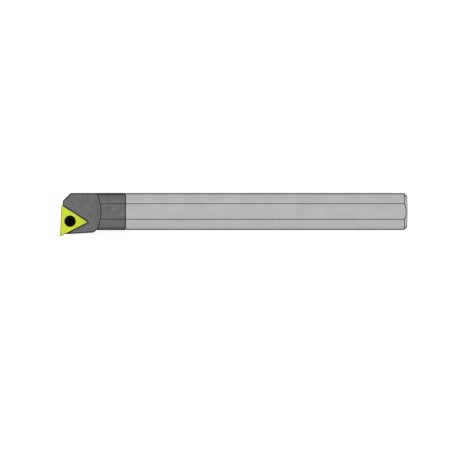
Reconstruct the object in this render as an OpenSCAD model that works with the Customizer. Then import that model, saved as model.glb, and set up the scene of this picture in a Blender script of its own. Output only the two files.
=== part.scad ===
// Indexable boring bar: a ground round shank with a steel head brazed to its front end.
// The bar lies along X. The rake plane of the cutting edge is z = 0, and z points up from it.
// The centre of the rear end face is the origin, and the cutting corner is at -X and -Y.

/* [Shank] */
// Diameter of the shank
shank_d = 19.05; // [18:0.05:20]
// Overall length, from the rear end face to the foremost point of the cutting corner
bar_length = 177.8; // [120:0.1:254]
// Height over the two ground flats
flats_height = 17.3; // [16.4:0.1:18]
// Leg of the 45 degree chamfer round the rear end
rear_chamfer = 1.5; // [0.5:0.1:3]
// Leg of the small edge breaks where the head meets the shank
edge_break = 0.25; // [0.1:0.05:0.4]
// Thickness of the braze between the head and the shank
braze_t = 0.12; // [0.05:0.01:0.2]

/* [Head] */
// Length of the head, from the foremost point of the cutting corner to the braze
head_length = 33.6; // [26:0.1:50]
// Distance from the bar's axis to the outermost point of the cutting corner
corner_offset = 12.7; // [12:0.1:13.5]
// Angle that the front cutting edge leads by, from square to the bar
lead_angle = 3; // [0:1:5]
// Depth of the milled top below the rake plane
top_drop = 0.6; // [0.3:0.1:1.2]
// Length of the milled top along the bar's axis
runout_length = 21.05; // [19:0.05:24]
// Radius of the cutter that leaves the curved shoulder
runout_r = 22; // [16:0.5:30]
// Radius at the foot of the curved shoulder
foot_r = 1; // [0.4:0.1:2]
// Set-back of the front face behind the cutting edge, at the rake plane
front_setback = 0.45; // [0.3:0.05:1]
// Angle that the front face leans under by
front_clearance = 7; // [4:1:10]
// Leg of the 45 degree chamfer on the corner away from the cutting corner
far_chamfer = 3.8; // [2:0.1:5]

/* [Belly] */
// Distance from the bar's axis to the side of the belly, at the cutting corner
belly_reach = 11.85; // [11.2:0.05:12]
// Radius of the belly, at the cutting corner
belly_r = 8.7; // [8:0.1:9.2]
// Angle that the belly tapers by towards the shank
belly_taper = 3.4; // [2:0.1:5]
// Length of the belly, up to the step behind it
belly_length = 17.1; // [14:0.1:17.5]
// Angle of the step behind the belly
belly_step = 40; // [30:1:50]

/* [Insert] */
// Diameter of the circle inscribed in the triangle
insert_ic = 9.525; // [9.2:0.025:10]
// Thickness of the insert
insert_t = 3.97; // [3.2:0.01:4]
// Radius of the insert's corners
nose_r = 0.4; // [0.2:0.1:1.2]
// Clearance angle of the insert's sides
insert_clearance = 11; // [5:1:11]
// Diameter of the insert's hole
hole_d = 4.4; // [4.2:0.05:4.6]
// Diameter of the countersink at the rake face
sink_d = 5.9; // [5.7:0.05:6.2]
// Included angle of the countersink and of the screw's head
sink_angle = 60; // [50:5:80]

/* [Insert screw] */
// Diameter of the screw's head
screw_head_d = 5.6; // [5.2:0.05:5.65]
// Pitch diameter of the thread
thread_d = 3.545; // [3:0.005:3.8]
// Depth of the screw's end below the rake plane
screw_reach = 7.3; // [6:0.1:7.5]
// Distance over the points of the six-lobed socket
socket_d = 3.27; // [2.8:0.01:3.4]
// Depth of the socket
socket_depth = 1.5; // [1:0.1:1.8]

/* [Hidden] */
$fn = 96;

// Places along the bar
shank_r = shank_d / 2;
tip_x = -bar_length;
joint_x = tip_x + head_length;
shank_front_x = joint_x + braze_t / 2;
head_rear_x = joint_x - braze_t / 2;
flat_z = flats_height / 2;
top_z = -top_drop;

// The directions in which the triangle's sides and its hidden corner face
front_side = 180 - lead_angle;
far_side = 60 - lead_angle;
near_side = -60 - lead_angle;
apex_turn = -lead_angle;

// The triangle's centre, and the circle round it that holds the centres of the round corners
corner_ring = insert_ic - 2 * nose_r;
insert_x = tip_x + nose_r + corner_ring * cos(far_side);
insert_y = -corner_offset + nose_r + corner_ring * sin(far_side);

// The front face stands this far from the triangle's centre, and meets the far side of the bar
front_distance = insert_ic / 2 - front_setback;
far_corner_x = insert_x + (shank_r - insert_y) * tan(lead_angle) - front_distance / cos(lead_angle);

// Depths in the insert's hole
cone_slope = tan(sink_angle / 2);
sink_depth = (sink_d - hole_d) / 2 / cone_slope;
screw_head_z = -(sink_d - screw_head_d) / 2 / cone_slope;
screw_neck_r = 1.7;
screw_neck_z = screw_head_z - (screw_head_d / 2 - screw_neck_r) / cone_slope;
thread_top_z = -insert_t + 0.3;
screw_point = 0.4;
relief_gap = 0.3;
reach = 60;

// Length of round bar along +X with a flat above and a flat below.
module flatted_bar(length, radius, half_height, front_break, rear_break) {
  difference() {
    rotate([0, 90, 0])
      rotate_extrude()
        polygon([
          [0, 0],
          [radius - front_break, 0],
          [radius, front_break],
          [radius, length - rear_break],
          [radius - rear_break, length],
          [0, length]
        ]);
    for (side = [0, 1])
      mirror([0, 0, side])
        translate([-1, -radius - 1, half_height])
          cube([length + 2, 2 * radius + 2, radius]);
  }
}

// All the space beyond a plane. The plane faces the direction turn, stands off by
// distance at the height of the rake plane, and leans under by the angle lean.
module beyond(turn, distance, lean) {
  rotate([0, 0, turn])
    translate([distance, 0, 0])
      rotate([0, lean, 0])
        translate([0, -reach, -reach])
          cube([reach, 2 * reach, 2 * reach]);
}

// Turned bulge on the cutting side, which backs the insert up outside the bar's own circle.
module belly() {
  end_r = belly_r - belly_length * tan(belly_taper);
  translate([tip_x, belly_r - belly_reach, 0])
    rotate([0, 90, 0])
      rotate_extrude()
        polygon([
          [0, 0],
          [belly_r, 0],
          [end_r, belly_length],
          [0, belly_length + end_r / tan(belly_step)]
        ]);
}

// Space that the milling cutter clears above the insert's side of the head.
module milled_top() {
  translate([tip_x + runout_length - runout_r, 0, top_z])
    rotate_extrude()
      union() {
        square([runout_r - foot_r, reach / 2]);
        translate([0, foot_r])
          square([runout_r, reach / 2]);
        translate([runout_r - foot_r, foot_r])
          circle(r = foot_r);
      }
}

// Space in front of the head's leaning front face.
module front_cut() {
  translate([insert_x, insert_y, 0])
    beyond(front_side, front_distance, front_clearance);
}

// Space outside the chamfer on the far corner.
module far_corner_cut() {
  translate([far_corner_x, shank_r, 0])
    beyond(135, -far_chamfer / sqrt(2), 0);
}

// Seat for the insert: a floor and two leaning walls, with a round relief where the walls
// would meet, so that the insert's hidden corner touches nothing.
module insert_seat() {
  translate([insert_x, insert_y, 0]) {
    difference() {
      translate([-reach / 2, -reach / 2, -insert_t])
        cube([reach, reach, reach]);
      beyond(far_side, insert_ic / 2, insert_clearance);
      beyond(near_side, insert_ic / 2, insert_clearance);
      beyond(apex_turn, corner_ring, 0);
    }
    rotate([0, 0, apex_turn])
      translate([corner_ring, 0, -insert_t - relief_gap])
        cylinder(h = reach / 2, r = nose_r + relief_gap);
  }
}

// Tapped hole through the floor of the seat, with a lead-in at its mouth.
module tapped_hole() {
  lead_in = 0.3;
  translate([insert_x, insert_y, -reach / 2])
    cylinder(h = reach / 2, d = thread_d);
  translate([insert_x, insert_y, -insert_t - lead_in])
    cylinder(h = 2 * lead_in, d1 = thread_d, d2 = thread_d + 4 * lead_in);
}

// Flat star with six round hollows, which is the outline of the screw's socket.
module six_lobes(across) {
  hollow_r = 0.175 * across;
  difference() {
    circle(d = across);
    for (turn = [0:60:300])
      rotate(turn)
        translate([0.36 * across + hollow_r, 0])
          circle(r = hollow_r);
  }
}

module shank() {
  color("#b8b8b8")
    translate([shank_front_x, 0, 0])
      flatted_bar(-shank_front_x, shank_r, flat_z, edge_break, rear_chamfer);
}

// Thin layer that fills the joint and stops just short of the bar's surface.
module braze_joint() {
  rim_r = shank_r - edge_break;
  rim_z = flat_z - edge_break;
  color("#c9b37a")
    translate([head_rear_x, 0, 0])
      intersection() {
        rotate([0, 90, 0])
          cylinder(h = braze_t, r = rim_r);
        translate([0, -shank_r, -rim_z])
          cube([braze_t, shank_d, 2 * rim_z]);
      }
}

module head() {
  color("#6c6c6c")
    difference() {
      union() {
        translate([tip_x, 0, 0])
          flatted_bar(head_rear_x - tip_x, shank_r, flat_z, edge_break, edge_break);
        belly();
      }
      milled_top();
      front_cut();
      far_corner_cut();
      insert_seat();
      tapped_hole();
    }
}

// Outline of the insert at the rake plane: a triangle with round corners.
module round_triangle() {
  hull()
    for (turn = [0, 120, 240])
      rotate(apex_turn + turn)
        translate([corner_ring, 0])
          circle(r = nose_r, $fn = 36);
}

module insert() {
  underside = 1 - 2 * insert_t * tan(insert_clearance) / insert_ic;
  color("#cbd83e")
    translate([insert_x, insert_y, -insert_t])
      difference() {
        linear_extrude(insert_t, scale = 1 / underside)
          scale(underside)
            round_triangle();
        translate([0, 0, -1])
          cylinder(h = insert_t + 2, d = hole_d);
        translate([0, 0, insert_t - sink_depth])
          cylinder(h = 2 * sink_depth, d1 = hole_d, d2 = 2 * sink_d - hole_d);
      }
}

module insert_screw() {
  color("#101010")
    translate([insert_x, insert_y, 0])
      difference() {
        rotate_extrude()
          polygon([
            [0, -screw_reach],
            [thread_d / 2 - screw_point, -screw_reach],
            [thread_d / 2, -screw_reach + screw_point],
            [thread_d / 2, thread_top_z],
            [screw_neck_r, thread_top_z],
            [screw_neck_r, screw_neck_z],
            [screw_head_d / 2, screw_head_z],
            [0, screw_head_z]
          ]);
        translate([0, 0, screw_head_z - socket_depth])
          linear_extrude(2 * socket_depth)
            six_lobes(socket_d);
      }
}

shank();
braze_joint();
head();
insert();
insert_screw();
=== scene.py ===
# Boring bar in its finish: ground carbide shank, blackened steel head, coated insert, black screw.
# Lengths in the dictionaries are millimetres, and every mesh is shrunk to metres as its last step.
import math

import bmesh
import bpy
from mathutils import Matrix, Vector


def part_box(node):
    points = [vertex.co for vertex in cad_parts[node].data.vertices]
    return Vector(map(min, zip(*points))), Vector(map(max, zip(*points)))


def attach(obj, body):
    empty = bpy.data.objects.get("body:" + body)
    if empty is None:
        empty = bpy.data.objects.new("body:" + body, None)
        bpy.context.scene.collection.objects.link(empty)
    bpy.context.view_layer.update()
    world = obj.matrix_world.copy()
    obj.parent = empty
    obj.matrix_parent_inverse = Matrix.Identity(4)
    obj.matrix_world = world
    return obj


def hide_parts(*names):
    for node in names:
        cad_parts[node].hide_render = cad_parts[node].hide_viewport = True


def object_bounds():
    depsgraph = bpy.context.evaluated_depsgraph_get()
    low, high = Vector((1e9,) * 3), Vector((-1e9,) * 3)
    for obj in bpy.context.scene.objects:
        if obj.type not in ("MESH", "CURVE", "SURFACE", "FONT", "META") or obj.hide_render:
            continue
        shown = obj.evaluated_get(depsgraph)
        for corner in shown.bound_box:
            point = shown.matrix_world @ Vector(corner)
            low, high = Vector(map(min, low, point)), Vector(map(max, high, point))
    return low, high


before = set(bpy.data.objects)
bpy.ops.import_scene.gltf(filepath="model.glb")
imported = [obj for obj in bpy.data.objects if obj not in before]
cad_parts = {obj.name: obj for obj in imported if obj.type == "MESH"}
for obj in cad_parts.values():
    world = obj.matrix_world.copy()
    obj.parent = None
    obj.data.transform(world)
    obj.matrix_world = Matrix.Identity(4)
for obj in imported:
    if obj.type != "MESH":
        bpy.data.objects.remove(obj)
cadLow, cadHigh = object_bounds()
mm = 0.001
print("frame loaded")


def nodeBox(name):
    return [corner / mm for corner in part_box(name)]


shankLow, shankHigh = nodeBox("shank")
headHigh = nodeBox("head")[1]
insertLow, insertHigh = nodeBox("insert")
screwLow, screwHigh = nodeBox("insert_screw")

bar = {
    "radius": headHigh.y,          # the head's far side lies on the bar's own circle
    "flatHeight": shankHigh.z,
    "tip": insertLow.x,            # foremost point of the cutting corner
    "lead": math.radians(3),       # how far the front cutting edge leads
}

# Node building, for materials and for Geometry Nodes


def feed(tree, slot, value):
    if isinstance(value, bpy.types.NodeSocket):
        tree.links.new(value, slot)
    else:
        slot.default_value = value


def addNode(tree, kind, values=(), **settings):
    node = tree.nodes.new(kind)
    for label, value in settings.items():
        setattr(node, label, value)
    for slot, value in zip(node.inputs, values):
        if value is not None:
            feed(tree, slot, value)
    return node


def calc(tree, operation, *values):
    return addNode(tree, "ShaderNodeMath", values, operation=operation).outputs[0]


# Materials read Object coordinates, turned into millimetres


def millimetres(tree, stretch=(1, 1, 1)):
    place = addNode(tree, "ShaderNodeMapping")
    feed(tree, place.inputs["Vector"], addNode(tree, "ShaderNodeTexCoord").outputs["Object"])
    place.inputs["Scale"].default_value = [part / mm for part in stretch]
    return place.outputs[0]


def grain(tree, place, scale=1.0, detail=2.0):
    node = addNode(tree, "ShaderNodeTexNoise")
    feed(tree, node.inputs["Vector"], place)
    node.inputs["Scale"].default_value = scale
    node.inputs["Detail"].default_value = detail
    return node.outputs[0]


def between(tree, share, low, high):
    node = addNode(tree, "ShaderNodeMapRange")
    feed(tree, node.inputs["Value"], share)
    node.inputs["From Min"].default_value = 0.3     # noise seldom leaves 0.3 to 0.7
    node.inputs["From Max"].default_value = 0.7
    node.inputs["To Min"].default_value = low
    node.inputs["To Max"].default_value = high
    return node.outputs["Result"]


def tint(tree, share, dark, light):
    node = addNode(tree, "ShaderNodeMix", data_type="RGBA")
    feed(tree, node.inputs["Factor"], between(tree, share, 0.0, 1.0))
    colours = [slot for slot in node.inputs if slot.type == "RGBA"]
    for slot, colour in zip(colours, (dark, light)):
        slot.default_value = (*colour, 1)
    return [slot for slot in node.outputs if slot.type == "RGBA"][0]


def bump(tree, height, depth):
    node = addNode(tree, "ShaderNodeBump")
    feed(tree, node.inputs["Height"], height)
    node.inputs["Distance"].default_value = depth * mm
    return node.outputs["Normal"]


def finish(name):
    material = bpy.data.materials.new(name)
    material.use_nodes = True
    return material, material.node_tree, material.node_tree.nodes["Principled BSDF"]


def grey(level, warmth=0.0):
    return (level * (1 + warmth), level, level * (1 - warmth))


metal = {
    "carbide": 0.47,               # brightness of the ground carbide
    "carbideSpread": 0.035,
    "carbideCloud": 0.12,          # how fine its clouds are
    "carbideMarks": 0.5,           # how much of its shade follows the tool marks
    "carbideRoughness": (0.22, 0.32),
    "carbideEdgeShade": 0.06,           # painted edge shade: the honed strips are painted this dark so they read as thin dark lines
    "steel": 0.15,                 # brightness of the blackened steel
    "steelSpread": 0.025,
    "steelCloud": 0.35,
    "steelMarks": 0.35,
    "steelRoughness": (0.24, 0.34),
    "steelGlance": 0.25,           # how little the blackened steel shines at a glancing angle
    # painted edge shade on the blackened steel's honed strips
    "steelEdgeShade": 0.015,
    "edgeRoughness": 0.5,
}

fineness = {
    "ground": (9, 0.2, 0.2),       # fine along the bar's axis, long round it
    "surface": (0.12, 10, 0.3),    # long along the bar
    "faced": 5,
    "milled": 4,
}


# Tool marks: each function returns their height


def grindMarks(tree):
    # round the bar's axis
    return grain(tree, millimetres(tree, fineness["ground"]), detail=3)


def flatMarks(tree):
    # along the bar, as a surface grinder leaves them
    return grain(tree, millimetres(tree, fineness["surface"]), detail=3)


def bands(tree, distance, scale):
    # marks that change with the distance alone
    place = addNode(tree, "ShaderNodeCombineXYZ", [calc(tree, "MULTIPLY", distance, scale), 0.0, 0.0])
    return grain(tree, place.outputs[0], detail=2)


def facedMarks(tree):
    # rings round the bar's axis, on its ends
    spot = addNode(tree, "ShaderNodeSeparateXYZ", [millimetres(tree)])
    square = calc(tree, "MULTIPLY", spot.outputs[1], spot.outputs[1])
    radius = calc(tree, "SQRT", calc(tree, "MULTIPLY_ADD", spot.outputs[2], spot.outputs[2], square))
    return bands(tree, radius, fineness["faced"])


def millMarks(tree):
    # arcs of the cutter's radius, one behind the other along the bar
    spot = addNode(tree, "ShaderNodeSeparateXYZ", [millimetres(tree)])
    square = calc(tree, "MULTIPLY", spot.outputs[1], spot.outputs[1])
    reach = calc(tree, "SQRT", calc(tree, "SUBTRACT", head["cutterRadius"] ** 2, square))
    return bands(tree, calc(tree, "SUBTRACT", spot.outputs[0], reach), fineness["milled"])


# Finishes: marks is one of the functions above, and depth is the height of its marks


def mixMarks(tree, lines, cloud, share):
    return calc(tree, "MULTIPLY_ADD", lines, share, calc(tree, "MULTIPLY", cloud, 1 - share))


def makeGround(name, marks, depth):
    material, tree, shader = finish(name)
    lines = marks(tree)
    cloud = grain(tree, millimetres(tree), scale=metal["carbideCloud"])
    mixed = mixMarks(tree, lines, cloud, metal["carbideMarks"])
    low, high = metal["carbide"] - metal["carbideSpread"], metal["carbide"] + metal["carbideSpread"]
    feed(tree, shader.inputs["Base Color"], tint(tree, mixed, grey(low), grey(high)))
    feed(tree, shader.inputs["Roughness"], between(tree, lines, *metal["carbideRoughness"]))
    feed(tree, shader.inputs["Normal"], bump(tree, lines, depth))
    shader.inputs["Metallic"].default_value = 1
    return material


# a near-black material painted on edges as shade, so that they read as dark outline lines
def makeEdgeShade(name, level):
    material, tree, shader = finish(name)
    speckle = grain(tree, millimetres(tree), scale=3, detail=3)
    feed(tree, shader.inputs["Base Color"], tint(tree, speckle, grey(level * 0.7), grey(level * 1.3)))
    shader.inputs["Roughness"].default_value = metal["edgeRoughness"]
    shader.inputs["Metallic"].default_value = 1
    return material


def makeBlackened(name, marks, depth):
    material, tree, shader = finish(name)
    lines = marks(tree)
    cloud = grain(tree, millimetres(tree), scale=metal["steelCloud"], detail=4)
    mixed = mixMarks(tree, lines, cloud, metal["steelMarks"])
    low, high = metal["steel"] - metal["steelSpread"], metal["steel"] + metal["steelSpread"]
    feed(tree, shader.inputs["Base Color"], tint(tree, mixed, grey(low, -0.01), grey(high, 0.01)))
    feed(tree, shader.inputs["Roughness"], between(tree, cloud, *metal["steelRoughness"]))
    feed(tree, shader.inputs["Normal"], bump(tree, lines, depth))
    shader.inputs["Metallic"].default_value = 1
    shader.inputs["Specular Tint"].default_value = (*grey(metal["steelGlance"]), 1)
    return material


def makeCoating(name, shade, colour):
    material, tree, shader = finish(name)
    cloud = grain(tree, millimetres(tree), scale=0.5, detail=3)
    grit = grain(tree, millimetres(tree), scale=insert["gritFineness"], detail=2)
    feed(tree, shader.inputs["Base Color"], tint(tree, cloud, shade, colour))
    feed(tree, shader.inputs["Roughness"], between(tree, grit, *insert["roughness"]))
    feed(tree, shader.inputs["Normal"], bump(tree, grit, insert["gritDepth"]))
    shader.inputs["Metallic"].default_value = insert["sheen"]
    return material


def makeBlackOxide(name):
    material, tree, shader = finish(name)
    cloud = grain(tree, millimetres(tree), scale=1.5, detail=3)
    low, high = screw["shades"]
    feed(tree, shader.inputs["Base Color"], tint(tree, cloud, grey(low), grey(high)))
    feed(tree, shader.inputs["Roughness"], between(tree, cloud, *screw["roughness"]))
    feed(tree, shader.inputs["Normal"], bump(tree, cloud, screw["bumpDepth"]))
    shader.inputs["Specular IOR Level"].default_value = screw["shine"]
    return material


def makeBraze(name):
    material, tree, shader = finish(name)
    cloud = grain(tree, millimetres(tree), scale=1.2, detail=3)
    dark, light = [grey(level, warmth) for level, warmth in braze["shades"]]
    feed(tree, shader.inputs["Base Color"], tint(tree, cloud, dark, light))
    feed(tree, shader.inputs["Roughness"], between(tree, cloud, *braze["roughness"]))
    shader.inputs["Metallic"].default_value = 1
    return material


# Mesh steps that the pieces share


def meshObject(name, points, faces, *materials):
    mesh = bpy.data.meshes.new(name)
    mesh.from_pydata([tuple(point) for point in points], [], faces)
    for material in materials:
        mesh.materials.append(material)
    piece = bpy.data.objects.new(name, mesh)
    bpy.context.scene.collection.objects.link(piece)
    return piece


def discard(piece):
    mesh = piece.data
    bpy.data.objects.remove(piece)
    bpy.data.meshes.remove(mesh)


def bake(piece):
    # what the modifiers give becomes the piece's own mesh
    graph = bpy.context.evaluated_depsgraph_get()
    mesh = bpy.data.meshes.new_from_object(piece.evaluated_get(graph))
    piece.modifiers.clear()
    old = piece.data
    piece.data = mesh
    bpy.data.meshes.remove(old)
    mesh.name = piece.name
    return piece


def mend(piece, gap=0.0005):
    work = bmesh.new()
    work.from_mesh(piece.data)
    bmesh.ops.remove_doubles(work, verts=work.verts, dist=gap)
    bmesh.ops.dissolve_degenerate(work, edges=work.edges, dist=gap)
    bmesh.ops.recalc_face_normals(work, faces=work.faces)
    work.to_mesh(piece.data)
    work.free()
    return piece


def stack(name, rings, *materials, loop=False, caps=False, second=()):
    # rings of points joined in order; a ring of one point is a pole. The bands that start at
    # the rings in second take the second material
    points = [point for ring in rings for point in ring]
    starts = [sum(len(ring) for ring in rings[:i]) for i in range(len(rings))]
    faces, slots = [], []
    for a in range(len(rings) if loop else len(rings) - 1):
        b = (a + 1) % len(rings)
        sizes = len(rings[a]), len(rings[b])
        for i in range(max(sizes)):
            steps = [(a, i), (a, i + 1), (b, i + 1), (b, i)]
            corners = [starts[ring] + step % len(rings[ring]) for ring, step in steps]
            faces.append(tuple(dict.fromkeys(corners)))
            slots.append(1 if a in second else 0)
    if caps:
        faces.append(tuple(range(len(rings[0]))))
        faces.append(tuple(starts[-1] + i for i in range(len(rings[-1]))))
        slots += [0, 0]
    piece = meshObject(name, points, faces, *materials)
    piece.data.polygons.foreach_set("material_index", slots)
    return mend(piece)


def polar(radius, turn, z=0):
    return Vector((radius * math.cos(turn), radius * math.sin(turn), z))


def ringOf(radius, z, count):
    if radius < 1e-6:
        return [Vector((0, 0, z))]
    return [polar(radius, 2 * math.pi * i / count, z) for i in range(count)]


def revolve(name, profile, *materials, count=128, place=(0, 0, 0), lay=False, second=()):
    # profile holds (radius, height) pairs; lay turns the axis from Z to X
    piece = stack(name, [ringOf(radius, z, count) for radius, z in profile], *materials, second=second)
    if lay:
        piece.data.transform(Matrix.Rotation(math.pi / 2, 4, "Y"))
    piece.data.transform(Matrix.Translation(place))
    return piece


def blockBeyond(name, place, turn, distance, lean, material, size=60):
    # a block behind a plane that faces turn, stands off by distance and leans under by lean
    corners = [Vector((x, y, z)) for x in (0, size) for y in (-size, size) for z in (-size, size)]
    faces = [(0, 1, 3, 2), (4, 6, 7, 5), (0, 4, 5, 1), (2, 3, 7, 6), (0, 2, 6, 4), (1, 5, 7, 3)]
    block = meshObject(name, corners, faces, material)
    move = Matrix.Translation(place) @ Matrix.Rotation(turn, 4, "Z")
    move = move @ Matrix.Translation((distance, 0, 0)) @ Matrix.Rotation(lean, 4, "Y")
    block.data.transform(move)
    return mend(block)


def combine(piece, other, operation):
    step = piece.modifiers.new(other.name, "BOOLEAN")
    step.operation = operation
    step.solver = "EXACT"
    step.material_mode = "TRANSFER"
    step.object = other
    bake(piece)
    discard(other)
    return piece


def flattenFaces(piece, angle=0.01, gap=0.002):
    # faces that lie in one plane become one face
    work = bmesh.new()
    work.from_mesh(piece.data)
    bmesh.ops.remove_doubles(work, verts=work.verts, dist=gap)
    bmesh.ops.dissolve_limit(work, angle_limit=angle, verts=work.verts, edges=work.edges,
                             use_dissolve_boundaries=False, delimit={"MATERIAL"})
    work.to_mesh(piece.data)
    work.free()
    return piece


def paint(piece, material, chosen):
    # the faces for which chosen says yes take the material
    piece.data.materials.append(material)
    for face in piece.data.polygons:
        if chosen(face):
            face.material_index = len(piece.data.materials) - 1


def isFlat(face):
    return abs(face.normal.z) > 0.999


def wholeWidth(edge):
    return 1


def honeEdges(piece, width, material, *spared, share=wholeWidth, sharpest=math.radians(20)):
    # every edge that stands out gets its share of a narrow strip in the material given, unless a
    # face beside it has that material already, or one that is spared
    slots = [piece.data.materials.find(entry.name) for entry in (material, *spared)]
    work = bmesh.new()
    work.from_mesh(piece.data)
    weight = work.edges.layers.float.new("bevel_weight_edge")
    for edge in work.edges:
        standsOut = edge.is_manifold and edge.calc_face_angle_signed() > sharpest
        if standsOut and all(face.material_index not in slots for face in edge.link_faces):
            edge[weight] = share(edge)
    work.to_mesh(piece.data)
    work.free()
    strip = piece.modifiers.new("honedStrip", "BEVEL")
    strip.limit_method = "WEIGHT"
    strip.offset_type = "WIDTH"
    strip.width = width
    strip.segments = 2
    strip.use_clamp_overlap = False
    strip.loop_slide = False
    strip.material = slots[0]
    return mend(bake(piece))


def settle(piece, replaced, place=(0, 0, 0), crease=math.radians(32)):
    # shading that keeps flat faces flat, then metres, then the piece joins the frame
    piece.data.transform(Matrix.Translation(place))
    piece.data.shade_smooth()
    piece.data.set_sharp_from_angle(angle=crease)
    weighting = piece.modifiers.new("evenShading", "WEIGHTED_NORMAL")
    weighting.keep_sharp = True
    bake(piece)
    piece.data.transform(Matrix.Scale(mm, 4))
    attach(piece, "root")
    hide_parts(replaced)
    print(piece.name, "has", len(piece.data.polygons), "faces")


# Geometry Nodes trees: a bar with two flats, and a thread's ridge


def startTree(name, inputs):
    tree = bpy.data.node_groups.new(name, "GeometryNodeTree")
    for label, value in inputs.items():
        kind = "NodeSocketInt" if isinstance(value, int) else "NodeSocketFloat"
        tree.interface.new_socket(label, in_out="INPUT", socket_type=kind).default_value = value
    tree.interface.new_socket("Material", in_out="INPUT", socket_type="NodeSocketMaterial")
    tree.interface.new_socket("Geometry", in_out="OUTPUT", socket_type="NodeSocketGeometry")
    outputs = addNode(tree, "NodeGroupInput").outputs
    return tree, {socket.name: socket for socket in outputs if socket.name}


def ruledGrid(tree, columns, rows):
    # a grid of one by one; gives each point's column as a whole number and its share of the rows
    grid = addNode(tree, "GeometryNodeMeshGrid", [1.0, 1.0, columns, rows])
    place = addNode(tree, "GeometryNodeInputPosition").outputs[0]
    spot = addNode(tree, "ShaderNodeSeparateXYZ", [place]).outputs
    step = calc(tree, "MULTIPLY", calc(tree, "ADD", spot[0], 0.5), columns - 1)
    column = addNode(tree, "FunctionNodeFloatToInt", [step], rounding_mode="ROUND").outputs[0]
    return grid.outputs["Mesh"], column, calc(tree, "ADD", spot[1], 0.5)


def choose(tree, index, values):
    node = addNode(tree, "GeometryNodeIndexSwitch", data_type="FLOAT")
    while len(node.index_switch_items) < len(values):
        node.index_switch_items.new()
    for slot, value in zip(node.inputs, [index, *values]):
        feed(tree, slot, value)
    return node.outputs[0]


def endTree(tree, given, mesh, spot):
    place = addNode(tree, "ShaderNodeCombineXYZ", spot).outputs[0]
    moved = addNode(tree, "GeometryNodeSetPosition")
    feed(tree, moved.inputs["Geometry"], mesh)
    feed(tree, moved.inputs["Position"], place)
    merged = addNode(tree, "GeometryNodeMergeByDistance", [moved.outputs[0]])
    merged.inputs["Distance"].default_value = 0.0005
    real = addNode(tree, "GeometryNodeRealizeInstances", [merged.outputs[0]])
    painted = addNode(tree, "GeometryNodeSetMaterial", [real.outputs[0]])
    feed(tree, painted.inputs["Material"], given["Material"])
    addNode(tree, "NodeGroupOutput", [painted.outputs[0]])
    return tree


def grow(name, tree, values):
    # a plain mesh made by the tree; its inputs are set before it is first evaluated
    piece = meshObject(name, [], [])
    modifier = piece.modifiers.new(tree.name, "NODES")
    modifier.node_group = tree
    for socket in tree.interface.items_tree:
        if socket.in_out == "INPUT" and socket.name in values:
            modifier[socket.identifier] = values[socket.name]
    bake(piece)
    piece.data.materials.pop(index=0)      # the empty slot before the tree's own
    return mend(piece)


def flattedBarTree():
    # round bar along X with a flat above and below: a broken edge follows the outline at the
    # front, and a turned chamfer, which the flats cut through, goes round the rear
    inputs = {"Front": 0.0, "Rear": 1.0, "Radius": 1.0, "Flat Height": 0.9,
              "Front Break": 0.1, "Rear Break": 0.1, "Quarter": 24}
    tree, given = startTree("flattedBar", inputs)
    rows = calc(tree, "MULTIPLY_ADD", given["Quarter"], 4.0, 1.0)
    mesh, column, share = ruledGrid(tree, 6, rows)
    travel = calc(tree, "MULTIPLY", share, 4.0)
    stretch = calc(tree, "FLOOR", calc(tree, "MINIMUM", travel, 3.99999))      # 0 to 3, also at the end
    offset = calc(tree, "MULTIPLY_ADD", calc(tree, "SUBTRACT", travel, stretch), 2.0, -1.0)
    ratio = calc(tree, "DIVIDE", given["Flat Height"], given["Radius"])
    onFlat = calc(tree, "MODULO", stretch, 2.0)
    roundHalf = calc(tree, "ARCSINE", ratio)
    flatHalf = calc(tree, "ARCCOSINE", ratio)
    half = choose(tree, addNode(tree, "FunctionNodeFloatToInt", [onFlat]).outputs[0], [roundHalf, flatHalf])
    angle = calc(tree, "MULTIPLY_ADD", offset, half, calc(tree, "MULTIPLY", stretch, math.pi / 2))
    sine = calc(tree, "SINE", angle)
    steepness = calc(tree, "MAXIMUM", calc(tree, "ABSOLUTE", sine), 0.01)
    limit = calc(tree, "DIVIDE", given["Flat Height"], steepness)
    body = calc(tree, "MINIMUM", given["Radius"], limit)
    rimFront = calc(tree, "SUBTRACT", body, given["Front Break"])
    rimRear = calc(tree, "MINIMUM", calc(tree, "SUBTRACT", given["Radius"], given["Rear Break"]), limit)
    afterFront = calc(tree, "ADD", given["Front"], given["Front Break"])
    beforeRear = calc(tree, "SUBTRACT", given["Rear"], calc(tree, "SUBTRACT", body, rimRear))
    stations = [given["Front"], given["Front"], afterFront, beforeRear, given["Rear"], given["Rear"]]
    x = choose(tree, column, stations)
    radius = choose(tree, column, [0.0, rimFront, body, body, rimRear, 0.0])
    y = calc(tree, "MULTIPLY", radius, calc(tree, "COSINE", angle))
    return endTree(tree, given, mesh, [x, y, calc(tree, "MULTIPLY", radius, sine)])


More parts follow.
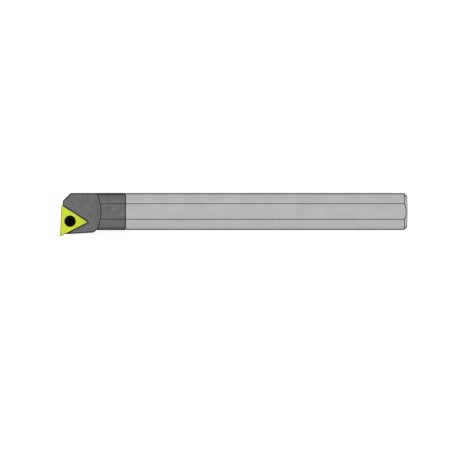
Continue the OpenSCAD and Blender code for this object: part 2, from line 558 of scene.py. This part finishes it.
def threadTree():
    # right-hand ridge round the Z axis, from Low to High, that runs out to nothing at both ends
    inputs = {"Low": 0.0, "High": 1.0, "Pitch": 0.7, "Phase": 0.0, "Root": 1.5, "Crest": 2.0,
              "Root Width": 0.5, "Crest Width": 0.1, "Run Out": 0.3, "Rows": 200}
    tree, given = startTree("threadRidge", inputs)
    mesh, column, share = ruledGrid(tree, 5, given["Rows"])
    length = calc(tree, "SUBTRACT", given["High"], given["Low"])
    turns = calc(tree, "DIVIDE", length, given["Pitch"])
    fromEnd = calc(tree, "MINIMUM", share, calc(tree, "SUBTRACT", 1.0, share))
    rise = calc(tree, "DIVIDE", calc(tree, "MULTIPLY", fromEnd, turns), given["Run Out"])
    full = calc(tree, "MINIMUM", rise, 1.0)
    height = calc(tree, "MULTIPLY", calc(tree, "SUBTRACT", given["Crest"], given["Root"]), full)
    crest = calc(tree, "ADD", given["Root"], height)
    radius = choose(tree, column, [given["Root"], crest, crest, given["Root"], given["Root"]])
    rootHalf = calc(tree, "MULTIPLY", given["Root Width"], 0.5)
    crestHalf = calc(tree, "MULTIPLY", given["Crest Width"], 0.5)
    rootLow = calc(tree, "MULTIPLY", rootHalf, -1.0)
    crestLow = calc(tree, "MULTIPLY", crestHalf, -1.0)
    side = choose(tree, column, [rootLow, crestLow, crestHalf, rootHalf, rootLow])
    along = calc(tree, "MULTIPLY_ADD", share, length, given["Low"])
    z = calc(tree, "MULTIPLY_ADD", side, full, along)
    turned = calc(tree, "MULTIPLY_ADD", share, calc(tree, "MULTIPLY", turns, 2 * math.pi), given["Phase"])
    x = calc(tree, "MULTIPLY", radius, calc(tree, "COSINE", turned))
    return endTree(tree, given, mesh, [x, calc(tree, "MULTIPLY", radius, calc(tree, "SINE", turned)), z])


flattedBar = flattedBarTree()
threadRidge = threadTree()
# painted edge shade: dark materials for the edge strips, standing in for the shade that outlines each edge
edgeShadeCarbide = makeEdgeShade("paintedShadeCarbideEdge", metal["carbideEdgeShade"])
edgeShadeSteel = makeEdgeShade("paintedShadeSteelEdge", metal["steelEdgeShade"])
print("node trees ready")

# Shank: ground all over, with two flats and a turned chamfer round its rear end

shank = {
    "front": shankLow.x,
    "rear": shankHigh.x,
    "frontBreak": 0.25,
    "rearChamfer": 1.5,
    "edgeWidth": 0.42,             # the honed strip along its sharp edges
    "endWidth": 0.7,               # and round the rear end face
}


def buildShank():
    roundFinish = makeGround("groundCarbide", grindMarks, depth=0.001)
    piece = grow("shankBody", flattedBar, {
        "Front": shank["front"], "Rear": shank["rear"], "Radius": bar["radius"],
        "Flat Height": bar["flatHeight"], "Front Break": shank["frontBreak"],
        "Rear Break": shank["rearChamfer"], "Material": roundFinish,
    })
    paint(piece, makeGround("groundFlat", flatMarks, depth=0.0015), isFlat)
    paint(piece, makeGround("facedEnd", facedMarks, depth=0.003), lambda face: face.normal.x > 0.999)
    paint(piece, edgeShadeCarbide, lambda face: -0.9 < face.normal.x < -0.5)      # the broken edge, painted with edge shade
    flattenFaces(piece)

    def endShare(edge):
        # the whole width round the end face, and less along the other edges
        onEnd = all(corner.co.x > shank["rear"] - 0.01 for corner in edge.verts)
        return 1 if onEnd else shank["edgeWidth"] / shank["endWidth"]

    # the strips along the sharp edges and round the end face are painted with edge shade
    honeEdges(piece, shank["endWidth"], edgeShadeCarbide, share=endShare)
    settle(piece, "shank")


# Braze: a thin layer whose rim lies at the bottom of the groove between the two edge breaks

braze = {
    "sink": 0.2,                   # how far the rim lies below the bar's surface
    "rimBreak": 0.03,
    "shades": [(0.10, 0.2), (0.20, 0.25)],     # brightness and warmth, dark and light
    "roughness": (0.4, 0.6),
}


def buildBraze():
    piece = grow("brazeRim", flattedBar, {
        "Front": headHigh.x, "Rear": shank["front"], "Radius": bar["radius"] - braze["sink"],
        "Flat Height": bar["flatHeight"] - braze["sink"], "Front Break": braze["rimBreak"],
        "Rear Break": braze["rimBreak"], "Material": makeBraze("tarnishedBraze"),
    })
    settle(piece, "braze_joint")


# Head: turned blank and bulge, milled top with a curved shoulder, and the insert's seat

head = {
    "edgeBreak": 0.25,
    "topZ": -0.6,                  # milled top
    "topLength": 21.05,            # along the axis, from the cutting corner
    "cutterRadius": 22,
    "footRadius": 1,
    "frontSetback": 0.45,
    "frontLean": math.radians(7),
    "farChamfer": 3.8,
    "bellySide": -11.85,           # Y of the bulge's side at the cutting corner
    "bellyRadius": 8.7,            # there too
    "bellyTaper": math.radians(3.4),
    "bellyLength": 17.1,
    "bellyStep": math.radians(40),
    "edgeWidth": 0.34,             # the honed strip along its sharp edges
    "rimShare": 0.3,               # how much of that width the milled top's rim gets
    "rimGrowth": 0.25,             # and what it gains for each millimetre up the shoulder
    "paintedShadeRim": 0.62,               # how far in from its outline the milled top is painted with edge shade
    "seatRim": 0.6,                # leg of the chamfer along the seat's walls
    "reliefRadius": 0.7,
    "reliefDepth": 0.3,            # below the seat's floor
    "cutterTop": 1.4,              # height at which the seat's cutters end
    "tapRadius": 1.66,
    "tapLeadIn": 0.3,
    "tapLow": -12,                 # the bore starts below the head
    "threadLow": -10.2,
    "threadPlay": 0.04,            # between the groove and the screw's ridge
    "threadOverlap": 0.06,         # the groove starts inside the bore, for a clean cut
}

insert = {
    "inscribed": 9.525,            # circle inside the triangle
    "thickness": insertHigh.z - insertLow.z,
    "nose": 0.4,                   # radius of its corners
    "arcSteps": 16,                # round each corner
    "sideSteps": 16,               # along each side
    "clearance": math.radians(11),
    "hole": 2.2,                   # radius of its hole
    "sink": 2.95,                  # radius of the countersink at the rake face
    "sinkSlope": math.tan(math.radians(30)),
    "hone": 0.04,
    "underBreak": 0.1,             # on the edges underneath
    "land": 0.34,                  # band of painted edge shade along the cutting edges
    "colour": (0.60, 0.69, 0.02),
    "shade": (0.54, 0.63, 0.015),
    "landPaintedShade": (0.07, 0.08, 0.010),
    "landPaintedShadeDark": (0.05, 0.06, 0.007),
    "gritFineness": 12,
    "gritDepth": 0.004,
    "roughness": (0.34, 0.46),
    "sheen": 0.25,                 # how metallic the coating looks
}

cornerRing = insert["inscribed"] - 2 * insert["nose"]
seatCentre = Vector(((screwLow.x + screwHigh.x) / 2, (screwLow.y + screwHigh.y) / 2, 0))
farSide = math.radians(60) - bar["lead"]
nearSide = -math.radians(60) - bar["lead"]
frontSide = math.pi - bar["lead"]
apexTurn = -bar["lead"]

# The front face meets the far side of the bar at farCorner, where the chamfer faces farTurn
frontDistance = insert["inscribed"] / 2 - head["frontSetback"]
frontShift = (bar["radius"] - seatCentre.y) * math.tan(bar["lead"]) - frontDistance / math.cos(bar["lead"])
farCorner = Vector((seatCentre.x + frontShift, bar["radius"], 0))
farTurn = math.radians(135)
farInset = head["farChamfer"] / math.sqrt(2)


def crossing(turnA, distanceA, turnB, distanceB, z):
    # where two lines meet, each given by the direction it faces and its distance
    spread = math.sin(turnB - turnA)
    x = (distanceA * math.sin(turnB) - distanceB * math.sin(turnA)) / spread
    y = (distanceB * math.cos(turnA) - distanceA * math.cos(turnB)) / spread
    return Vector((x, y, z))


def seatWall(z):
    # the walls lean with the insert's sides, and open out at 45 degrees at the rim
    rim = head["topZ"] - head["seatRim"]
    return insert["inscribed"] / 2 + min(z, rim) * math.tan(insert["clearance"]) + max(z - rim, 0)


def seatWedge(material, far=40):
    rings = []
    for z in (-insert["thickness"], head["topZ"] - head["seatRim"], head["cutterTop"]):
        wall = seatWall(z)
        # inside the round relief, and short of where the walls meet
        end = min(cornerRing * 0.75 + wall / 2, 2 * wall - 0.02)
        rings.append([
            crossing(farSide, wall, apexTurn, end, z),
            crossing(nearSide, wall, apexTurn, end, z),
            crossing(nearSide, wall, frontSide, far, z),
            crossing(farSide, wall, frontSide, far, z),
        ])
    # the chamfer at the rim takes the painted edge shade, a dark outline round the insert
    wedge = stack("seatWedge", rings, material, edgeShadeSteel, caps=True, second=[1])
    wedge.data.transform(Matrix.Translation(seatCentre))
    return wedge


def seatRelief(material):
    # a round hole where the seat's walls would meet, whose rim runs on from theirs; its flared rim is
    # painted with edge shade
    corner = seatCentre + Matrix.Rotation(apexTurn, 3, "Z") @ Vector((cornerRing, 0, 0))
    radius, floor, high = head["reliefRadius"], -insert["thickness"] - head["reliefDepth"], head["cutterTop"]
    wide = seatWall(high) - cornerRing / 2 + 0.02
    profile = [(0, floor), (radius, floor), (radius, high - wide + radius), (wide, high), (0, high)]
    return revolve("seatRelief", profile, material, edgeShadeSteel, count=48, place=corner, second=[2])


def milledTop(material, high=12):
    foot, reach, floor = head["footRadius"], head["cutterRadius"], head["topZ"]
    arc = [math.radians(angle) for angle in range(-90, 1, 15)]
    profile = [(0, floor)]
    profile += [(reach - foot + foot * math.cos(a), floor + foot + foot * math.sin(a)) for a in arc]
    profile += [(reach, high), (0, high)]
    centre = bar["tip"] + head["topLength"] - reach
    return revolve("milledTop", profile, material, count=160, place=(centre, 0, 0))


def belly(material):
    radius = head["bellyRadius"]
    endRadius = radius - head["bellyLength"] * math.tan(head["bellyTaper"])
    stepLength = endRadius / math.tan(head["bellyStep"])
    profile = [(0, 0), (radius, 0), (endRadius, head["bellyLength"]), (0, head["bellyLength"] + stepLength)]
    return revolve("belly", profile, material, count=96, lay=True,
                   place=(bar["tip"], head["bellySide"] + radius, 0))


def tapHole(piece, material):
    # bored right through, and threaded from below to the mouth's lead-in
    radius, floor, lead = head["tapRadius"], -insert["thickness"], head["tapLeadIn"]
    below, mouth = head["tapLow"], radius + 2 * lead
    profile = [(0, below), (radius, below), (radius, floor - 2 * lead), (mouth, floor),
               (mouth, floor + 1), (0, floor + 1)]
    combine(piece, revolve("tapBore", profile, material, count=48, place=seatCentre), "DIFFERENCE")
    low, play, overlap = head["threadLow"], head["threadPlay"], head["threadOverlap"]
    # the groove starts lower than the screw's ridge, on the same helix
    ahead = (low - thread["low"]) / thread["pitch"] * 2 * math.pi
    groove = grow("tapGroove", threadRidge, {
        "Low": low, "High": floor + 0.2, "Pitch": thread["pitch"], "Root": radius - overlap,
        "Crest": thread["crest"] + play, "Root Width": thread["rootWidth"] + overlap,
        "Crest Width": thread["crestWidth"] + play, "Phase": thread["phase"] + ahead,
        "Rows": 360, "Material": material,
    })
    groove.data.transform(Matrix.Translation(seatCentre))
    combine(piece, groove, "DIFFERENCE")


def onMilledTop(face, slot):
    # the flat top, the round foot of the shoulder and the shoulder itself
    return face.material_index == slot and face.normal.z > -0.01 and (
        isFlat(face) or face.calc_center_median().x > bar["tip"] + head["topLength"] / 2)


def topOutline():
    # the milled top's six sides: a point on each, and the way it faces
    radius, taper, step = bar["radius"], head["bellyTaper"], head["bellyStep"]
    stepX = bar["tip"] + head["bellyLength"]
    stepY = head["bellySide"] + head["bellyLength"] * math.tan(taper)
    return {
        "farSide": (Vector((0, radius, 0)), Vector((0, 1, 0))),
        "farCorner": (farCorner + polar(-farInset, farTurn), polar(1, farTurn)),
        "front": (seatCentre + polar(frontDistance, frontSide), polar(1, frontSide)),
        "belly": (Vector((bar["tip"], head["bellySide"], 0)), polar(1, taper - math.pi / 2)),
        "step": (Vector((stepX, stepY, 0)), polar(1, step - math.pi / 2)),
        "nearSide": (Vector((0, -radius, 0)), Vector((0, -1, 0))),
    }


def paintTopOutlineShade(piece, milled):
    # near its outline the milled top, up to the shoulder's edge, is painted with the same edge shade as the
    # honed edges, a dark line along the outline
    work = bmesh.new()
    work.from_mesh(piece.data)
    milledSlot = piece.data.materials.find(milled.name)
    lines = {}
    for name, (point, facing) in topOutline().items():
        lines[name] = (point - head["paintedShadeRim"] * facing, facing)
    for point, facing in lines.values():
        faces = [face for face in work.faces if onMilledTop(face, milledSlot)]
        edges = dict.fromkeys(edge for face in faces for edge in face.edges)
        corners = dict.fromkeys(corner for face in faces for corner in face.verts)
        bmesh.ops.bisect_plane(work, geom=[*faces, *edges, *corners], dist=0.001,
                               plane_co=point, plane_no=facing)
    for face in [face for face in work.faces if onMilledTop(face, milledSlot)]:
        spot = face.calc_center_median()
        past = {name: (spot - point).dot(facing) > 0 for name, (point, facing) in lines.items()}
        if past["farSide"] or past["farCorner"] or past["front"] or (
                past["nearSide"] and (past["belly"] or past["step"])):
            face.material_index = piece.data.materials.find(edgeShadeSteel.name)
    work.to_mesh(piece.data)
    work.free()


def buildHead():
    turned = makeBlackened("turnedSteel", grindMarks, depth=0.003)
    milled = makeBlackened("milledSteel", millMarks, depth=0.004)
    seat = makeBlackened("seatSteel", flatMarks, depth=0.002)
    piece = grow("headBody", flattedBar, {
        "Front": -headHigh.x, "Rear": -bar["tip"], "Radius": bar["radius"],
        "Flat Height": bar["flatHeight"], "Front Break": head["edgeBreak"],
        "Rear Break": head["edgeBreak"], "Material": turned,
    })
    piece.data.transform(Matrix.Rotation(math.pi, 4, "Z"))   # the broken edge faces the braze
    paint(piece, makeBlackened("groundSteel", flatMarks, depth=0.002), isFlat)
    paint(piece, edgeShadeSteel, lambda face: 0.5 < face.normal.x < 0.9)      # the broken edge, painted with edge shade
    combine(piece, belly(turned), "UNION")
    front = blockBeyond("frontCut", seatCentre, frontSide, frontDistance, head["frontLean"], milled)
    chamfer = blockBeyond("farCut", farCorner, farTurn, -farInset, 0, milled)
    for cutter in (milledTop(milled), front, chamfer, seatWedge(seat), seatRelief(seat)):
        combine(piece, cutter, "DIFFERENCE")
    mend(piece, gap=0.01)
    flattenFaces(piece)
    tapHole(piece, seat)
    milledSlot = piece.data.materials.find(milled.name)

    def rimShare(edge):
        # narrow round the milled top and the shoulder's foot, then wider up the shoulder
        rise = sum(corner.co.z for corner in edge.verts) / 2 - head["topZ"] - head["footRadius"]
        onRim = any(onMilledTop(face, milledSlot) for face in edge.link_faces)
        return min(1, head["rimShare"] + head["rimGrowth"] * max(rise, 0)) if onRim else 1

    # the strips along the sharp edges are painted with edge shade
    honeEdges(piece, head["edgeWidth"], edgeShadeSteel, seat, share=rimShare)
    paintTopOutlineShade(piece, milled)
    settle(piece, "head", crease=math.radians(18))


# Insert: a flat-topped triangle whose sides lean under, with a countersunk hole


def insertRing(z, inset=0):
    # the round-cornered triangle at height z, smaller the lower it is, and drawn in by inset
    arcSteps, sideSteps = insert["arcSteps"], insert["sideSteps"]
    size = 1 + 2 * z * math.tan(insert["clearance"]) / insert["inscribed"]
    shrink = min(inset, insert["nose"] / 2)        # the corners keep at least half their radius
    radius = insert["nose"] * size - shrink
    ring = cornerRing * size - 2 * (inset - shrink)
    third = math.radians(120)
    points = []
    for corner in range(3):
        turn = apexTurn + third * corner
        bends = [turn + third * (i / arcSteps - 0.5) for i in range(arcSteps + 1)]
        points += [polar(ring, turn, z) + polar(radius, bend) for bend in bends]
        start = points[-1]
        end = polar(ring, turn + third, z) + polar(radius, turn + third / 2)
        points += [start.lerp(end, i / sideSteps) for i in range(1, sideSteps)]
    return points


def holeRing(radius, z):
    # a circle with as many points as the triangle, each facing its partner
    count = 3 * (insert["arcSteps"] + insert["sideSteps"])
    first = insert["arcSteps"] / 2
    return [polar(radius, apexTurn + 2 * math.pi * (i - first) / count, z) for i in range(count)]


def buildInsert():
    thick, hone, under = insert["thickness"], insert["hone"], insert["underBreak"]
    sinkDepth = (insert["sink"] - insert["hole"]) / insert["sinkSlope"]
    rings = [
        holeRing(insert["hole"] + under, -thick),
        insertRing(-thick, under),
        insertRing(-thick + under),
        insertRing(-hone),
        insertRing(-hone * 0.3, hone * 0.3),
        insertRing(0, hone),
        insertRing(0, insert["land"]),
        holeRing(insert["sink"] + hone, 0),
        holeRing(insert["sink"] - hone, -hone),
        holeRing(insert["hole"], -sinkDepth),
        holeRing(insert["hole"], -thick + under),
    ]
    coating = makeCoating("limeCoating", insert["shade"], insert["colour"])
    honed = makeCoating("paintedShadeLand", insert["landPaintedShadeDark"], insert["landPaintedShade"])
    # the hone, the band along the cutting edges and the countersink's wall are painted shade: a dark outline
    # line, and the shadow in the hole
    piece = stack("insertBody", rings, coating, honed, loop=True, second=[3, 4, 5, 7, 8])
    settle(piece, "insert", seatCentre)


# Screw: cone head with a six-lobed socket, and a right-hand thread

screw = {
    "top": screwHigh.z,
    "end": screwLow.z,
    "headRadius": (screwHigh.x - screwLow.x) / 2,
    "neckRadius": 1.7,
    "coreRadius": 1.56,
    "pointBreak": 0.35,
    "headBreak": 0.1,
    "socketReach": 1.635,          # over the lobes, from the centre
    "socketWaist": 1.18,           # between the lobes
    "socketBreak": 0.08,
    "socketDepth": 1.5,
    "socketDraft": 0.03,           # how much narrower the socket is at its floor
    "drillRadius": 0.5,            # of the drilled point under the socket
    "drillDepths": (0.15, 0.25),   # of that point, at its rim and in its middle
    "shades": (0.001, 0.003),
    "roughness": (0.4, 0.55),
    "bumpDepth": 0.01,
    "shine": 0.03,
    "steps": 96,                   # round the screw
}

thread = {
    "pitch": 0.7,
    "low": screwLow.z + 0.25,
    "high": -insert["thickness"] + 0.1,
    "crest": 1.95,
    "rootWidth": 0.52,
    "crestWidth": 0.1,
    "sunk": 0.04,                  # how far the ridge's root lies inside the core
    "phase": 0.4,                  # where the ridge starts round the screw, in radians
}


def socketRing(z, draw=0):
    # six lobes, drawn in by draw
    mean = (screw["socketReach"] + screw["socketWaist"]) / 2
    swing = (screw["socketReach"] - screw["socketWaist"]) / 2
    points = []
    for i in range(screw["steps"]):
        turn = 2 * math.pi * i / screw["steps"]
        radius = mean + swing * math.cos(6 * turn) - draw
        points.append(polar(radius, turn, z))
    return points


def buildScrew():
    material = makeBlackOxide("blackOxide")
    top, rim, core, end = screw["top"], screw["headRadius"], screw["coreRadius"], screw["end"]
    slope, point, soft = insert["sinkSlope"], screw["pointBreak"], screw["headBreak"]
    neckZ = top - (rim - screw["neckRadius"]) / slope
    count = screw["steps"]
    rings = [ringOf(radius, z, count) for radius, z in [
        (0, end), (core - point, end), (core, end + point), (core, thread["high"]),
        (screw["neckRadius"], thread["high"] + 0.2), (screw["neckRadius"], neckZ),
        (rim - slope * soft, top - soft), (rim - 0.2 * soft, top - 0.3 * soft), (rim - 0.8 * soft, top),
        (screw["socketReach"] + 0.35, top),
    ]]
    floor, lip = top - screw["socketDepth"], screw["socketBreak"]
    rings += [socketRing(top, -lip), socketRing(top - lip), socketRing(floor, screw["socketDraft"])]
    edgeDepth, pointDepth = screw["drillDepths"]
    rings += [ringOf(screw["drillRadius"], floor - edgeDepth, count), ringOf(0, floor - pointDepth, count)]
    piece = stack("screwBody", rings, material)
    ridge = grow("screwRidge", threadRidge, {
        "Low": thread["low"], "High": thread["high"] - 0.1, "Pitch": thread["pitch"],
        "Root": core - thread["sunk"], "Crest": thread["crest"], "Root Width": thread["rootWidth"],
        "Crest Width": thread["crestWidth"], "Phase": thread["phase"], "Rows": 200, "Material": material,
    })
    combine(piece, ridge, "UNION")
    settle(piece, "insert_screw", seatCentre)


buildShank()
buildBraze()
buildHead()
buildInsert()
buildScrew()
print("pieces built")

# Floor, light and camera

studio = {
    "floorSize": 12000,
    "floorColour": (0.86, 0.86, 0.86),
    "floorRoughness": 0.9,
    "floorShine": 0.1,
    "floorGlow": 0.45,             # the table is lit from below, so that shadows stay pale
    # brightness of the tent by height, from -1 straight below to 1 overhead; the bar's sides
    # mirror the dark ground under the table, which draws their outline
    "tent": [(-0.9, 0.02), (-0.62, 0.9), (0.0, 1.0), (0.7, 1.0)],
    "lampPlace": (-600, 700, 900),
    "lampSize": 900,
    "lampPower": 2.2,
    "viewWidth": 230.5,            # width of the picture on the object
    "viewCentre": (-93.3, -6.92),
    "lens": 800,                   # long, so that the picture is nearly parallel
}


def buildFloor():
    half, z = studio["floorSize"] / 2, cadLow.z / mm
    corners = [(-half, -half, z), (half, -half, z), (half, half, z), (-half, half, z)]
    material, tree, shader = finish("paleTable")
    shader.inputs["Base Color"].default_value = (*studio["floorColour"], 1)
    shader.inputs["Roughness"].default_value = studio["floorRoughness"]
    shader.inputs["Specular IOR Level"].default_value = studio["floorShine"]
    shader.inputs["Emission Color"].default_value = (1, 1, 1, 1)
    shader.inputs["Emission Strength"].default_value = studio["floorGlow"]
    floor = meshObject("floor", corners, [(0, 1, 2, 3)], material)
    floor.data.transform(Matrix.Scale(mm, 4))
    floor.visible_glossy = False


def buildWorld():
    world = bpy.data.worlds.new("lightTent")
    world.use_nodes = True
    tree = world.node_tree
    direction = addNode(tree, "ShaderNodeTexCoord").outputs["Generated"]
    height = addNode(tree, "ShaderNodeSeparateXYZ", [direction]).outputs[2]
    share = calc(tree, "MULTIPLY_ADD", height, 0.5, 0.5)
    ramp = addNode(tree, "ShaderNodeValToRGB", [share])
    stops = ramp.color_ramp.elements
    for i, (rise, level) in enumerate(studio["tent"]):
        stop = stops[i] if i < 2 else stops.new((rise + 1) / 2)
        stop.position = (rise + 1) / 2
        stop.color = (level, level, level, 1)
    feed(tree, tree.nodes["Background"].inputs["Color"], ramp.outputs["Color"])
    bpy.context.scene.world = world


def buildLamp():
    data = bpy.data.lights.new("softbox", "AREA")
    data.shape = "SQUARE"
    data.size = studio["lampSize"] * mm
    data.energy = studio["lampPower"]
    lamp = bpy.data.objects.new("softbox", data)
    lamp.location = Vector(studio["lampPlace"]) * mm
    aim = Vector((studio["viewCentre"][0] * mm, 0, 0)) - lamp.location
    lamp.rotation_euler = aim.to_track_quat("-Z", "Y").to_euler()
    lamp.visible_camera = False
    bpy.context.scene.collection.objects.link(lamp)


def buildCamera():
    data = bpy.data.cameras.new("camera")
    data.lens = studio["lens"]
    away = studio["viewWidth"] * data.lens / data.sensor_width
    data.clip_end = 2 * away * mm
    camera = bpy.data.objects.new("camera", data)
    camera.location = Vector((*studio["viewCentre"], away)) * mm
    bpy.context.scene.collection.objects.link(camera)
    bpy.context.scene.camera = camera


buildFloor()
buildWorld()
buildLamp()
buildCamera()
bpy.context.scene.view_settings.view_transform = "Standard"
print("floor, light and camera ready")
